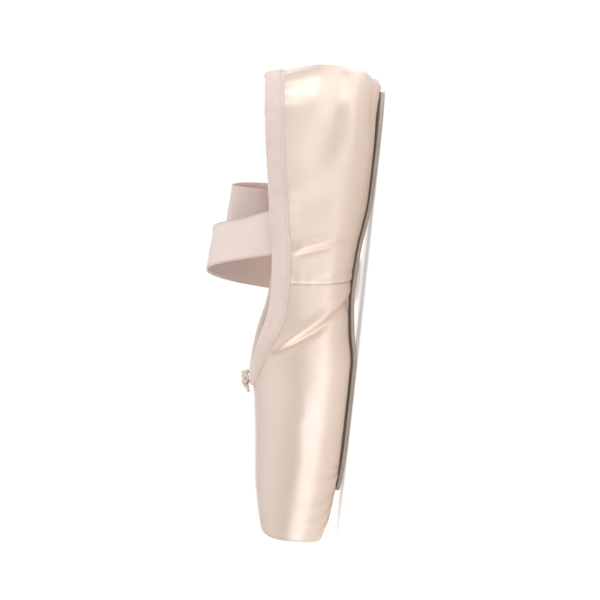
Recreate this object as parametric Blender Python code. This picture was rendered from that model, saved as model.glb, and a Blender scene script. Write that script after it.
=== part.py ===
"""Pointe shoe: satin upper on a straight last, drawstring binding, insole, suede outsole and ribbons.

Metres, +Z up, toe towards +X. The shoe stands on its outsole, unbent and empty.
"""
import math
from collections import namedtuple

import bpy
import numpy as np

# Driving sizes
LENGTH = 0.232
BALL_WIDTH = 0.081
HEEL_WIDTH = 0.056
INSTEP_HEIGHT = 0.050
HEEL_HEIGHT = 0.057
VAMP_LENGTH = 0.080
ARCH_HEIGHT = 0.0042
OUTSOLE = 0.0026
WALL = 0.0018
BOX_WALL = 0.0024
TOE_ROUND = 0.0026
INSOLE = 0.0016
BINDING_WIDTH = 0.0080
BINDING_THICK = 0.0009
SEAM_STEP = 0.0003
PLEAT_DEPTH = 0.0005
RIBBON_WIDTH = 0.022
RIBBON_LENGTH = 0.460
RIBBON_THICK = 0.0005
CORD = 0.0016
GAP = 0.0003

COLUMNS = 88
ROWS = 17
RAYS = 220

BALL = BALL_WIDTH / 2
THROAT = LENGTH - VAMP_LENGTH
SOLE_TOP = OUTSOLE + GAP

# The last. at: share of the length from the heel. width: share of the half ball width.
# top and widest: shares of the instep height. flat: share of the width that is flat underneath.
# lift: share of the arch height that the bottom stands off the floor.
Station = namedtuple("Station", "at width top widest flat lift")
LAST = (
    Station(0.00, 0.670, 2.20, 0.44, 0.60, 0.00),
    Station(0.14, 0.692, 2.20, 0.44, 0.62, 0.00),
    Station(0.26, 0.697, 2.00, 0.43, 0.60, 0.08),
    Station(0.39, 0.765, 1.60, 0.42, 0.54, 0.88),
    Station(0.46, 0.825, 1.42, 0.42, 0.54, 1.00),
    Station(0.54, 0.915, 1.22, 0.41, 0.57, 0.62),
    Station(0.61, 0.980, 1.06, 0.40, 0.61, 0.00),
    Station(0.66, 1.000, 0.99, 0.40, 0.62, 0.00),
    Station(0.71, 0.985, 0.96, 0.39, 0.62, 0.00),
    Station(0.78, 0.915, 0.92, 0.39, 0.62, 0.00),
    Station(0.86, 0.805, 0.88, 0.40, 0.61, 0.14),
    Station(0.93, 0.700, 0.83, 0.42, 0.56, 0.45),
    Station(1.00, 0.590, 0.75, 0.45, 0.50, 1.10),
)
# How far the heel's back stands in front of its rearmost point. up: share of the heel height.
# inset: share of the heel width.
Back = namedtuple("Back", "up inset")
HEEL_BACK = (
    Back(0.00, 0.200),
    Back(0.08, 0.120),
    Back(0.19, 0.030),
    Back(0.36, 0.000),
    Back(0.55, 0.012),
    Back(0.75, 0.060),
    Back(1.00, 0.150),
    Back(2.00, 0.420),
)
# The collar's edge. at: share of the way from heel to throat. heel and instep: its height as
# shares of the heel height and of the dorsum's height at the throat.
Edge = namedtuple("Edge", "at heel instep")
COLLAR = (
    Edge(0.00, 1.00, 0.000),
    Edge(0.12, 0.80, 0.205),
    Edge(0.25, 0.60, 0.385),
    Edge(0.45, 0.35, 0.575),
    Edge(0.65, 0.15, 0.715),
    Edge(0.77, 0.06, 0.815),
    Edge(0.86, 0.00, 0.938),
    Edge(0.93, 0.00, 0.978),
    Edge(1.00, 0.00, 1.000),
    Edge(1.40, 0.00, 1.120),
)
# The outsole's half width as a share of the half ball width. at: share of the length.
Sole = namedtuple("Sole", "at width")
SOLE = (
    Sole(0.00, 0.430),
    Sole(0.15, 0.445),
    Sole(0.27, 0.412),
    Sole(0.40, 0.405),
    Sole(0.50, 0.485),
    Sole(0.60, 0.590),
    Sole(0.68, 0.625),
    Sole(0.76, 0.600),
    Sole(0.84, 0.540),
    Sole(0.92, 0.450),
)
SOLE_HEEL = 0.045
SOLE_TOE = 0.897
SOLE_HEEL_ROUND = 0.075
SOLE_TOE_ROUND = 0.120

# A ribbon's way out of the shoe. forward: metres ahead of where it is sewn. side: share of the
# collar's half width, positive towards its own quarter, and 1 where it lies on the lining.
# up: share of the collar's height.
Hang = namedtuple("Hang", "forward side up")
ACROSS = (
    Hang(0.000, 1.000, 0.44),
    Hang(0.000, 1.000, 0.54),
    Hang(0.001, 1.000, 0.66),
    Hang(0.004, 0.850, 0.92),
    Hang(0.010, 0.640, 1.28),
    Hang(0.016, 0.200, 1.58),
    Hang(0.022, -0.420, 1.58),
    Hang(0.027, -1.060, 1.34),
    Hang(0.030, -1.400, 0.95),
    Hang(0.032, -1.540, 0.50),
    Hang(0.033, -1.760, 0.12),
)
OVER = (
    Hang(0.000, 1.000, 0.44),
    Hang(0.000, 1.000, 0.54),
    Hang(0.000, 1.000, 0.66),
    Hang(0.000, 0.860, 0.92),
    Hang(0.000, 0.760, 1.20),
    Hang(0.000, 0.960, 1.46),
    Hang(-0.001, 1.280, 1.34),
    Hang(-0.002, 1.460, 0.94),
    Hang(-0.003, 1.600, 0.50),
    Hang(-0.004, 1.840, 0.12),
)
# Where a ribbon lies on the floor. run: metres along the ribbon. turn: degrees that it turns in
# plan over that run. up: height at the end of the run. back: where it doubles back there, how many
# degrees it then turns beyond half a turn, and 0 where it doesn't.
# The ribbon ends in its last run, where its length is used up.
Lie = namedtuple("Lie", "run turn up back")
FLOOR_ACROSS = (
    Lie(0.050, 10, 0.0010, 0),
    Lie(0.090, 16, 0.0010, -34),
    Lie(0.045, -4, 0.0042, 0),
    Lie(0.045, -6, 0.0010, 0),
    Lie(0.160, -12, 0.0010, 0),
)
FLOOR_OVER = (
    Lie(0.050, -2, 0.0010, 0),
    Lie(0.100, -5, 0.0010, 24),
    Lie(0.045, 2, 0.0042, 0),
    Lie(0.045, -4, 0.0010, 0),
    Lie(0.220, -16, 0.0010, 0),
)
FOLD_ROUND = 0.0048
RIBBON_AT = 0.33


def spline(xs, ys, q):
    """Monotone cubic through the points, so level stretches of a table stay level."""
    xs = np.asarray(xs, float)
    ys = np.asarray(ys, float)
    h = np.diff(xs)
    d = np.diff(ys) / h
    m = np.empty(len(xs))
    m[0] = d[0]
    m[-1] = d[-1]
    for k in range(1, len(xs) - 1):
        if d[k - 1] * d[k] <= 0:
            m[k] = 0.0
        else:
            a = 2 * h[k] + h[k - 1]
            b = h[k] + 2 * h[k - 1]
            m[k] = (a + b) / (a / d[k - 1] + b / d[k])
    q = np.clip(np.asarray(q, float), xs[0], xs[-1])
    i = np.clip(np.searchsorted(xs, q) - 1, 0, len(xs) - 2)
    s = (q - xs[i]) / h[i]
    a = (1 + 2 * s) * (1 - s) ** 2 * ys[i] + s * (1 - s) ** 2 * h[i] * m[i]
    return a + s * s * (3 - 2 * s) * ys[i + 1] - s * s * (1 - s) * h[i] * m[i + 1]


def column(table, key, name, q):
    return spline([getattr(r, key) for r in table], [getattr(r, name) for r in table], q)


def smoothstep(q):
    q = np.clip(q, 0.0, 1.0)
    return q * q * (3 - 2 * q)


def bottom_at(x):
    """Height of the upper's underside above the floor, on the centre line."""
    return SOLE_TOP + ARCH_HEIGHT * column(LAST, "at", "lift", x / LENGTH)


def top_at(x):
    return INSTEP_HEIGHT * column(LAST, "at", "top", x / LENGTH)


def widest_at(x):
    return INSTEP_HEIGHT * column(LAST, "at", "widest", x / LENGTH)


def collar_at(x):
    q = x / THROAT
    throat_height = top_at(THROAT)
    return (HEEL_HEIGHT * column(COLLAR, "at", "heel", q)
            + throat_height * column(COLLAR, "at", "instep", q))


def wall_at(x):
    return WALL + (BOX_WALL - WALL) * smoothstep((x - THROAT) / (0.6 * VAMP_LENGTH))


def seam_at(z):
    """Where the side seam crosses this height."""
    return 0.432 * LENGTH + 0.10 * z


def last(x, y, z, inset):
    """Negative inside the last, shrunk by the inset."""
    back = HEEL_WIDTH * column(HEEL_BACK, "up", "inset", z / HEEL_HEIGHT)
    q = x - back * (1 - smoothstep(x / (1.25 * HEEL_WIDTH))) - inset
    heel = 0.60 * HEEL_WIDTH
    cap = (1 - np.clip(1 - q / heel, 0, 1) ** 2.2) ** (1 / 2.2)
    tip = LENGTH - inset
    bend = np.maximum(TOE_ROUND - inset, 0.0007)
    s = np.clip((x - (tip - bend)) / bend, 0, 1)
    give = bend * (1 - np.sqrt(1 - s * s))
    wide = BALL * column(LAST, "at", "width", x / LENGTH) * cap - inset - give
    mid = widest_at(x)
    top = top_at(x) - inset - give
    low = bottom_at(x) + inset + give
    flat = np.maximum(column(LAST, "at", "flat", x / LENGTH) * wide, 0)
    wide = np.maximum(wide, 1e-5)
    across = np.abs(y) / wide
    above = (np.maximum(z - mid, 0) / (top - mid)) ** 2.25 + across ** 2.25
    side = np.maximum(np.abs(y) - flat, 0) / np.maximum(wide - flat, 1e-5)
    below = (np.maximum(mid - z, 0) / (mid - low)) ** 2.2 + side ** 2.2
    value = np.where(z > mid, above, below) - 1
    return np.where((x > tip) | (q < 0), 1.0, value)


def cast(start, way, inset):
    """Distance from start, along way, to the last's surface. Arrays of shape (n, 3)."""
    near = np.zeros(len(start))
    far = np.full(len(start), 0.3)
    for _ in range(36):
        mid = (near + far) / 2
        p = start + way * mid[:, None]
        inside = last(p[:, 0], p[:, 1], p[:, 2], inset(p[:, 0])) < 0
        near = np.where(inside, mid, near)
        far = np.where(inside, far, mid)
    return start + way * near[:, None]


def outer(x):
    return np.zeros_like(x)


def inner(x):
    return wall_at(x)


def half_at(x, z, inset):
    """Half width of the last at this place, shrunk by the inset."""
    return float(cast(np.array([[x, 0.0, z]]), np.array([[0.0, 1.0, 0.0]]), inset)[0, 1])


def sole_half(x, inset=0.0):
    """Half width of the outsole's outline, moved in by the inset."""
    start = SOLE_HEEL * LENGTH + inset
    end = SOLE_TOE * LENGTH - inset
    a = np.clip(1 - (x - start) / (SOLE_HEEL_ROUND * LENGTH), 0, 1)
    b = np.clip(1 - (end - x) / (SOLE_TOE_ROUND * LENGTH), 0, 1)
    cap = np.sqrt(1 - a * a) * np.sqrt(1 - b ** 2.4)
    half = BALL * column(SOLE, "at", "width", x / LENGTH) - inset
    return np.where((x < start) | (x > end), 0.0, half * cap)


def along(points):
    step = np.linalg.norm(np.diff(points, axis=0), axis=1)
    return np.concatenate([[0.0], np.cumsum(step)])


def spread(points, count, sharp):
    """Picks places along a path, evenly but closer together where it bends."""
    s = along(points)
    way = np.diff(points, axis=0) / np.maximum(np.diff(s), 1e-9)[:, None]
    bend = np.arccos(np.clip((way[1:] * way[:-1]).sum(1), -1, 1))
    bend = np.concatenate([[0.0], bend, [0.0]])
    soft = np.convolve(np.pad(bend, 4, mode="edge"), np.ones(9) / 9, mode="valid")
    load = np.concatenate([[0.0], np.cumsum(np.diff(s) + sharp * (soft[1:] + soft[:-1]) / 2)])
    return np.interp(np.linspace(0, load[-1], count), load, s)


def pick(points, s):
    t = along(points)
    return np.stack([np.interp(s, t, points[:, k]) for k in range(3)], axis=1)


def fans():
    """One upright plane for each column: its foot on the shoe's axis, and its azimuth."""
    heel = 0.66 * HEEL_WIDTH
    toe = THROAT - 0.16 * VAMP_LENGTH
    foot = np.concatenate([np.full(160, heel), np.linspace(heel, toe, 240), np.full(400, toe)])
    quarter = np.linspace(0, math.pi / 2, 160)
    angle = np.concatenate([math.pi - quarter, np.full(240, math.pi / 2), np.linspace(math.pi / 2, 0, 400)])
    start = np.stack([foot, 0 * foot, widest_at(foot)], axis=1)
    way = np.stack([np.cos(angle), np.sin(angle), 0 * angle], axis=1)
    rim = cast(start, way, outer)
    rim[0, 1] = 0
    rim[-1, 1] = 0
    s = along(rim)
    keep = np.concatenate([[True], np.diff(s) > 1e-7])
    chosen = spread(rim[keep], COLUMNS // 2 + 1, 0.012)
    foot = np.interp(chosen, s[keep], foot[keep])
    angle = np.interp(chosen, s[keep], angle[keep])
    return (np.concatenate([foot, foot[-2:0:-1]]), np.concatenate([angle, -angle[-2:0:-1]]))


def profile(foot, angle, inset):
    """The last's section in one column's plane, from straight down to nearly straight up."""
    tilt = np.radians(np.linspace(-89.9, 86, RAYS))
    start = np.repeat([[foot, 0.0, float(widest_at(foot))]], RAYS, axis=0)
    way = np.stack([np.cos(tilt) * math.cos(angle), np.cos(tilt) * math.sin(angle), np.sin(tilt)], axis=1)
    return cast(start, way, inset)


def crossing(values):
    """Fractional index where the values first rise through zero."""
    k = int(np.argmax(values > 0))
    return k - 1 + values[k - 1] / (values[k - 1] - values[k])


def cut(points, low, high):
    """The part of a path between two fractional indices."""
    n = np.arange(len(points))
    inside = n[(n > low) & (n < high)]
    index = np.concatenate([[low], inside, [high]])
    return np.stack([np.interp(index, n, points[:, k]) for k in range(3)], axis=1)


def rim_reach(foot, angle):
    """How far from the axis the upper's edge lies underneath, under the outsole's own edge."""
    near, far = 0.0, 0.2
    for _ in range(30):
        mid = (near + far) / 2
        x = foot + mid * math.cos(angle)
        y = mid * abs(math.sin(angle))
        inside = float(sole_half(np.array(x), 0.0055)) > y
        near, far = (mid, far) if inside else (near, mid)
    return near


def normal(p, inset):
    """The last's outward direction at a point of its surface."""
    e = 2e-5
    grad = np.empty_like(p)
    for k in range(3):
        a = p.copy()
        b = p.copy()
        a[:, k] += e
        b[:, k] -= e
        grad[:, k] = (last(a[:, 0], a[:, 1], a[:, 2], inset(a[:, 0]))
                      - last(b[:, 0], b[:, 1], b[:, 2], inset(b[:, 0])))
    return grad / np.maximum(np.linalg.norm(grad, axis=1), 1e-12)[:, None]


def shell():
    """Outer and inner grids of the upper: columns round the shoe, rows from its edge underneath
    up to the collar, the last two rows on the binding's lines."""
    feet, angles = fans()
    paths_out, paths_in = [], []
    for foot, angle in zip(feet, angles):
        reach = rim_reach(foot, angle)
        out = profile(foot, angle, outer)
        low = crossing(np.hypot(out[:, 0] - foot, out[:, 1]) - reach)
        high = crossing(np.where(out[:, 2] > widest_at(out[:, 0]), out[:, 2] - collar_at(out[:, 0]), -1.0))
        path = cut(out, low, high)
        inn = profile(foot, angle, inner)
        inn_low = crossing(np.hypot(inn[:, 0] - foot, inn[:, 1]) - reach)
        dense = cut(inn, inn_low, len(inn) - 1.001)
        end = int(np.argmin(np.linalg.norm(dense - path[-1], axis=1)))
        paths_out.append(path)
        paths_in.append(dense[:end + 1])
    return rows_on(paths_out), rows_on(paths_in)


def rows_on(paths):
    """Places along each column's path, evened out between neighbouring columns."""
    lengths = np.array([along(path)[-1] for path in paths])
    shares = np.array([spread(pick(path, np.linspace(0, size - BINDING_WIDTH, 4 * RAYS)), ROWS - 1, 0.010)
                       / (size - BINDING_WIDTH) for path, size in zip(paths, lengths)])
    shares = (np.roll(shares, 1, axis=0) + 2 * shares + np.roll(shares, -1, axis=0)) / 4
    grid = []
    for path, size, share in zip(paths, lengths, shares):
        body = share * (size - BINDING_WIDTH)
        grid.append(pick(path, np.concatenate([body, [size - BINDING_WIDTH / 2, size]])))
    return np.array(grid)


def dress(grid):
    """The side seam's step and the pleats lasted under the toe, as changes of the outer wall."""
    out = grid.copy()
    flat = grid.reshape(-1, 3)
    way = normal(flat, outer).reshape(grid.shape)
    x, y, z = grid[..., 0], grid[..., 1], grid[..., 2]
    step = SEAM_STEP * smoothstep((seam_at(z) - x) / 0.0015)
    under = smoothstep((0.42 * widest_at(x) - z) / 0.004)
    clear = smoothstep((np.abs(y) - sole_half(x) - 0.0015) / 0.004)
    ahead = smoothstep((x - 0.80 * LENGTH) / 0.012)
    tip = smoothstep((LENGTH - 0.004 - x) / 0.004)
    sign = np.where(np.arange(len(grid)) % 2 == 0, 1.0, -1.0)[:, None]
    pleat = PLEAT_DEPTH * 0.5 * sign * under * np.maximum(clear, smoothstep((x - SOLE_TOE * LENGTH - 0.001) / 0.004))
    covered = z < bottom_at(x) + 0.0008
    beside = np.abs(y) < sole_half(x) + 0.0015
    step = np.where(covered & beside, 0.0, step)
    out += way * (step + pleat * ahead * tip)[..., None]
    return out


def make(name, verts, faces, look):
    mesh = bpy.data.meshes.new(name)
    mesh.from_pydata([tuple(map(float, v)) for v in verts], [], faces)
    mesh.validate()
    for poly in mesh.polygons:
        poly.use_smooth = True
    mesh.materials.append(look)
    obj = bpy.data.objects.new(name, mesh)
    bpy.context.scene.collection.objects.link(obj)
    return obj


def material(name, color, rough, coat=0.0):
    mat = bpy.data.materials.new(name)
    mat.use_nodes = True
    node = mat.node_tree.nodes["Principled BSDF"]
    node.inputs["Base Color"].default_value = (*color, 1)
    node.inputs["Roughness"].default_value = rough
    node.inputs["Coat Weight"].default_value = coat
    return mat


def tube(loops, closed):
    """Skins closed loops in a row with triangles, the left half's mirrored in the right half;
    caps both ends unless the row itself closes."""
    n, m = len(loops), len(loops[0])
    verts = [p for loop in loops for p in loop]
    faces = []
    for i in range(n if closed else n - 1):
        a, b = i * m, ((i + 1) % n) * m
        for j in range(m):
            k = (j + 1) % m
            if closed and i >= n // 2:
                faces += [(a + j, b + j, a + k), (b + j, b + k, a + k)]
            else:
                faces += [(a + j, b + j, b + k), (a + j, b + k, a + k)]
    if not closed:
        faces.append(tuple(range(m)))
        faces.append(tuple((n - 1) * m + j for j in reversed(range(m))))
    return verts, faces


def upper(out, inn):
    """One wall: out along the outer grid, over the collar's edge, back down the inner grid."""
    loops = [list(o) + list(i[::-1]) for o, i in zip(out, inn)]
    verts, faces = tube(loops, True)
    return make("upper", verts, [f[::-1] for f in faces], material("satin", (0.80, 0.62, 0.50), 0.35))


def binding(out, inn):
    """A casing folded over the collar: both legs follow the wall's own rows."""
    o = out[:, [-3, -2, -1]]
    i = inn[:, [-3, -2, -1]]
    o_way = normal(o.reshape(-1, 3), outer).reshape(o.shape)
    i_way = -normal(i.reshape(-1, 3), inner).reshape(i.shape)
    loops = []
    far = GAP + BINDING_THICK
    bead = GAP + 1.5 * BINDING_THICK
    for a, b, an, bn in zip(o, i, o_way, i_way):
        up = (a[2] - a[1]) / np.linalg.norm(a[2] - a[1])
        lift = up * GAP
        crown = up * (GAP + 0.6 * BINDING_THICK)
        top = (a[2] + b[2]) / 2 + up * bead
        side = SEAM_STEP
        loops.append([a[0] + an[0] * (GAP + side), a[1] + an[1] * (GAP + side), a[2] + an[2] * (GAP + side) + lift,
                      b[2] + bn[2] * GAP + lift, b[1] + bn[1] * GAP, b[0] + bn[0] * GAP,
                      b[0] + bn[0] * far, b[1] + bn[1] * bead, b[2] + bn[2] * far + crown,
                      top, a[2] + an[2] * (far + side) + crown, a[1] + an[1] * (bead + side), a[0] + an[0] * (far + side)])
    verts, faces = tube(loops, True)
    return make("binding", verts, faces, material("casing", (0.84, 0.68, 0.60), 0.7))


def plate(name, xs, half, low, high, edge, look):
    """A sheet of leather or card that follows the shoe's bottom."""
    loops = []
    for x in xs:
        h, a, b = float(half(x)), float(low(x)), float(high(x))
        e = min(edge, 0.45 * h)
        right = [(x, h - e, a), (x, h, a + 0.35 * (b - a)), (x, h - 0.25 * e, b)]
        left = [(p[0], -p[1], p[2]) for p in reversed(right)]
        loops.append([(x, 0.0, a)] + right + [(x, 0.0, b)] + left)
    verts, faces = tube(loops, False)
    return make(name, verts, faces, look)


def stations(start, end, count):
    """Closer together at both rounded ends."""
    s = np.linspace(0, 1, count)
    return start + (end - start) * (0.55 * s + 0.45 * (1 - np.cos(math.pi * s)) / 2)


def outsole():
    eps = 0.0004
    xs = stations(SOLE_HEEL * LENGTH + eps, SOLE_TOE * LENGTH - eps, 38)
    return plate("outsole", xs, lambda x: sole_half(np.array(x)), lambda x: bottom_at(x) - GAP - OUTSOLE,
                 lambda x: bottom_at(x) - GAP, 0.0012, material("suede", (0.46, 0.39, 0.33), 0.95))


def insole():
    def low(x):
        return bottom_at(x) + wall_at(x) + 2 * GAP

    end = 0.965 * LENGTH - BOX_WALL

    def half(x):
        s = min(max(1 - (end - x) / (0.09 * LENGTH), 0), 1)
        return (half_at(x, float(low(x)), inner) - 0.0013) * math.sqrt(1 - 0.98 * s ** 3)

    xs = stations(0.045 * LENGTH + WALL, end, 30)
    return plate("insole", xs, half, low, lambda x: low(x) + INSOLE, 0.0005,
                 material("sock", (0.80, 0.70, 0.60), 0.85))


def smooth_path(points, count):
    """Catmull-Rom through the points, then evenly spaced."""
    p = np.array(points, float)
    p = np.vstack([2 * p[0] - p[1], p, 2 * p[-1] - p[-2]])
    out = []
    for a, b, c, d in zip(p[:-3], p[1:-2], p[2:-1], p[3:]):
        for t in np.linspace(0, 1, 16, endpoint=False):
            out.append(0.5 * (2 * b + (c - a) * t + (2 * a - 5 * b + 4 * c - d) * t * t
                              + (3 * b - a - 3 * c + d) * t ** 3))
    out = np.array(out + [p[-2]])
    return pick(out, np.linspace(0, along(out)[-1], count))


def ribbon_path(hang, lie, side):
    """Centre line and width direction: out of the shoe, down, and along the floor."""
    x0 = RIBBON_AT * LENGTH
    height = float(collar_at(x0))
    points = []
    for row in hang:
        x = x0 + row.forward
        edge = x + RIBBON_WIDTH / 2 if row.side * row.forward < 0 and row.side < 0 else x - RIBBON_WIDTH / 2
        if row.side == 1:
            y = half_at(x, row.up * height, inner) - 2 * GAP - RIBBON_THICK / 2
        else:
            y = row.side * half_at(edge, 0.93 * float(collar_at(edge)), inner)
        points.append((x, side * y, row.up * height))
    heading = math.atan2(points[-1][1] - points[-2][1], points[-1][0] - points[-2][0])
    x, y, z = points[-1]
    x, y = x + 0.014 * math.cos(heading), y + 0.014 * math.sin(heading)
    points.append((x, y, 0.0012))
    for row in lie:
        parts = 4
        base = points[-1][2]
        for k in range(parts):
            heading += math.radians(row.turn) / parts
            x += row.run / parts * math.cos(heading)
            y += row.run / parts * math.sin(heading)
            z = base + (row.up - base) * float(smoothstep((k + 1) / parts))
            points.append((x, y, z))
        if row.back:
            reach = FOLD_ROUND
            points.append((x + reach * math.cos(heading), y + reach * math.sin(heading), z + FOLD_ROUND))
            heading += math.pi + math.radians(row.back)
            points.append((x, y, z + 2 * FOLD_ROUND))
    path = smooth_path(points, 400)
    s = along(path)
    path = pick(path, np.linspace(0, min(s[-1], RIBBON_LENGTH), 80))
    way = np.gradient(path, axis=0)
    return path, way / np.linalg.norm(way, axis=1)[:, None]


def ribbon(name, hang, lie, side):
    path, way = ribbon_path(hang, lie, side)
    wide = np.zeros_like(path)
    x, z = path[0][0], path[0][2]
    flare = half_at(x + RIBBON_WIDTH / 2, z, inner) - half_at(x - RIBBON_WIDTH / 2, z, inner)
    last_dir = np.array([1.0, side * flare / RIBBON_WIDTH, 0.0])
    for k in range(len(path)):
        w = last_dir - way[k] * float(last_dir @ way[k])
        w[2] *= 0.2
        w -= way[k] * float(w @ way[k])
        last_dir = w / np.linalg.norm(w)
        wide[k] = last_dir
    loops = []
    for p, t, w in zip(path, way, wide):
        n = np.cross(t, w)
        a, b = w * RIBBON_WIDTH / 2, n * RIBBON_THICK / 2
        loops.append([p - a - b, p + a - b, p + a + b, p - a + b])
    verts, faces = tube(loops, False)
    print(name, "length", round(along(path)[-1], 4), "lowest", round(min(v[2] for v in verts), 5))
    return make(name, verts, faces, material(name + "_satin", (0.86, 0.70, 0.66), 0.35))


def knot(top):
    """An overhand knot in the drawstring, lying on the casing at the throat, with both ends."""
    size = 0.78 * CORD
    t = np.linspace(0.16, 2 * math.pi - 0.16, 34) + math.pi / 3
    x = np.sin(t) + 2 * np.sin(2 * t)
    y = np.cos(t) - 2 * np.cos(2 * t)
    z = -np.sin(3 * t)
    path = np.stack([x, y, z], axis=1)
    turn = -math.atan2(path[0, 1] + path[-1, 1], path[0, 0] + path[-1, 0])
    c, s = math.cos(turn), math.sin(turn)
    path = path @ np.array([[c, s, 0], [-s, c, 0], [0, 0, 1]])
    first = path[0] + np.array([[2.2, -4.4, -0.6], [1.1, -2.2, -0.3]])
    final = path[-1] + np.array([[1.1, 2.2, -0.3], [2.2, 4.4, -0.6]])
    path = np.vstack([first, path, final]) * size
    path = smooth_path(path, 64)
    slope = math.atan2(float(top_at(THROAT + 0.01) - top_at(THROAT)), 0.01)
    c, s = math.cos(slope), math.sin(slope)
    path = np.stack([c * path[:, 0] - s * path[:, 2], path[:, 1], s * path[:, 0] + c * path[:, 2]], axis=1)
    path += np.array(top)
    way = np.gradient(path, axis=0)
    way /= np.linalg.norm(way, axis=1)[:, None]
    side = np.cross(way[0], [0, 0, 1.0])
    side /= np.linalg.norm(side)
    loops = []
    for p, w in zip(path, way):
        side = side - w * float(side @ w)
        side /= np.linalg.norm(side)
        other = np.cross(w, side)
        loops.append([p + CORD / 2 * (math.cos(a) * side + math.sin(a) * other)
                      for a in np.linspace(0, 2 * math.pi, 6, endpoint=False)])
    verts, faces = tube(loops, False)
    return make("drawstring_knot", verts, faces, material("cord", (0.86, 0.72, 0.66), 0.7))


def outward(obj):
    """Turns a solid's faces outward if its volume comes out negative."""
    mesh = obj.data
    mesh.calc_loop_triangles()
    v = np.array([p.co[:] for p in mesh.vertices])
    tri = np.array([t.vertices[:] for t in mesh.loop_triangles])
    a, b, c = v[tri[:, 0]], v[tri[:, 1]], v[tri[:, 2]]
    if np.einsum("ij,ij->i", a, np.cross(b, c)).sum() < 0:
        mesh.flip_normals()


def main():
    for obj in list(bpy.data.objects):
        bpy.data.objects.remove(obj)
    grid_out, grid_in = shell()
    made = [upper(dress(grid_out), grid_in), binding(grid_out, grid_in), outsole(), insole()]
    solid = np.array([p.co[:] for o in made for p in o.data.vertices])
    x = grid_out[COLUMNS // 2, -1, 0] + 0.55 * BINDING_WIDTH
    made.append(knot((x, 0.0, float(top_at(x)) + 2 * GAP + 1.5 * BINDING_THICK + 1.35 * CORD)))
    made.append(ribbon("ribbon_medial", ACROSS, FLOOR_ACROSS, 1))
    made.append(ribbon("ribbon_lateral", OVER, FLOOR_OVER, -1))
    middle = (solid.min(axis=0) + solid.max(axis=0)) / 2
    for obj in made:
        outward(obj)
        for p in obj.data.vertices:
            p.co.x -= middle[0]
            p.co.y -= middle[1]
        obj.data.update()
    print("size", np.round(solid.max(axis=0) - solid.min(axis=0), 4), "low", round(float(solid[:, 2].min()), 5))


main()
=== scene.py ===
"""Pointe shoe, dressed: satin with its lasting creases, casing, suede outsole, sock and ribbons.

Metres, +Z up, toe towards +X, inner side of the foot towards +Y.
"""

import math
from collections import namedtuple

import bpy
import numpy as np
from mathutils import Matrix, Vector

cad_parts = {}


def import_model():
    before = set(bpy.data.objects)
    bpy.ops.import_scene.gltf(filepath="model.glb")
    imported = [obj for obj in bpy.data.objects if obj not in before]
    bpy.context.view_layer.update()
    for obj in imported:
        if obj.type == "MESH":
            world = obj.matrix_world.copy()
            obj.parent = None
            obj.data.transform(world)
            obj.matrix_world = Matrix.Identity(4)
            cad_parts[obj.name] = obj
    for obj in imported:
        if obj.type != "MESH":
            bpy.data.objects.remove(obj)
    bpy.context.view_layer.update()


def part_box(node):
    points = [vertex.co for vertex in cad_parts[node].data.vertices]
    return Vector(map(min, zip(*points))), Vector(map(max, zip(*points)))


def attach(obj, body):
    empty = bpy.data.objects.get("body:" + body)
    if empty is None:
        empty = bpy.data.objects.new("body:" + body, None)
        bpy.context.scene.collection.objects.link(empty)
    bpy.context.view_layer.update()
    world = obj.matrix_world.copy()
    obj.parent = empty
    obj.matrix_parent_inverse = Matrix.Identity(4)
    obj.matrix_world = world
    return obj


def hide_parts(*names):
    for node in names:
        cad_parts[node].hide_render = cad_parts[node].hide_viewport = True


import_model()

# Sizes, as in the model's source
LENGTH = 0.232
BALL_WIDTH = 0.081
HEEL_WIDTH = 0.056
INSTEP_HEIGHT = 0.050
HEEL_HEIGHT = 0.057
VAMP_LENGTH = 0.080
ARCH_HEIGHT = 0.0042
OUTSOLE = 0.0026
WALL = 0.0018
BOX_WALL = 0.0024
TOE_ROUND = 0.0026
INSOLE = 0.0016
BINDING_WIDTH = 0.0080
BINDING_THICK = 0.0009
SEAM_STEP = 0.0003
RIBBON_WIDTH = 0.022
RIBBON_LENGTH = 0.460
RIBBON_THICK = 0.0004
CORD = 0.0016
GAP = 0.0003

BALL = BALL_WIDTH / 2
THROAT = LENGTH - VAMP_LENGTH
SOLE_TOP = OUTSOLE + GAP
CASING_OUT = 0.8 * GAP + SEAM_STEP
CASING_IN = 0.8 * GAP
LINED_THICK = 0.8 * BINDING_THICK

# The satin's grid, and how far the shoe's own zero, the heel, lies from the frame's
COLUMNS = 700
ROWS = 139
LINING_ROWS = 44
RAYS = 260
SHIFT = float(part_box("upper")[1][0]) - LENGTH

# Sewing and lasting, in metres, but for the number of PLEATS and the shares BACK_SEAM_END,
# PLEAT_LAP and STITCH_SHARE
SEAM_GROOVE = 0.00030
SEAM_TURNING = 0.00012
BACK_GROOVE = 0.00035
BACK_TURNING = 0.00014
BACK_SEAM_END = 0.3
RIM_TUCK = 0.0055
PLEATS = 36
PLEAT_HEIGHT = 0.00095
PLEAT_REACH = 0.0115
PLEAT_LAP = 0.78
PLEAT_CENTRE = 0.80 * LENGTH
PUCKER_HEIGHT = 0.00013
PUCKER_PITCH = 0.0068
GATHER_PITCH = 0.0031
STITCH_PITCH = 0.0024
STITCH_SHARE = 0.62
STITCH_RADIUS = 0.00021
STITCH_PROUD = 0.00002

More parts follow.
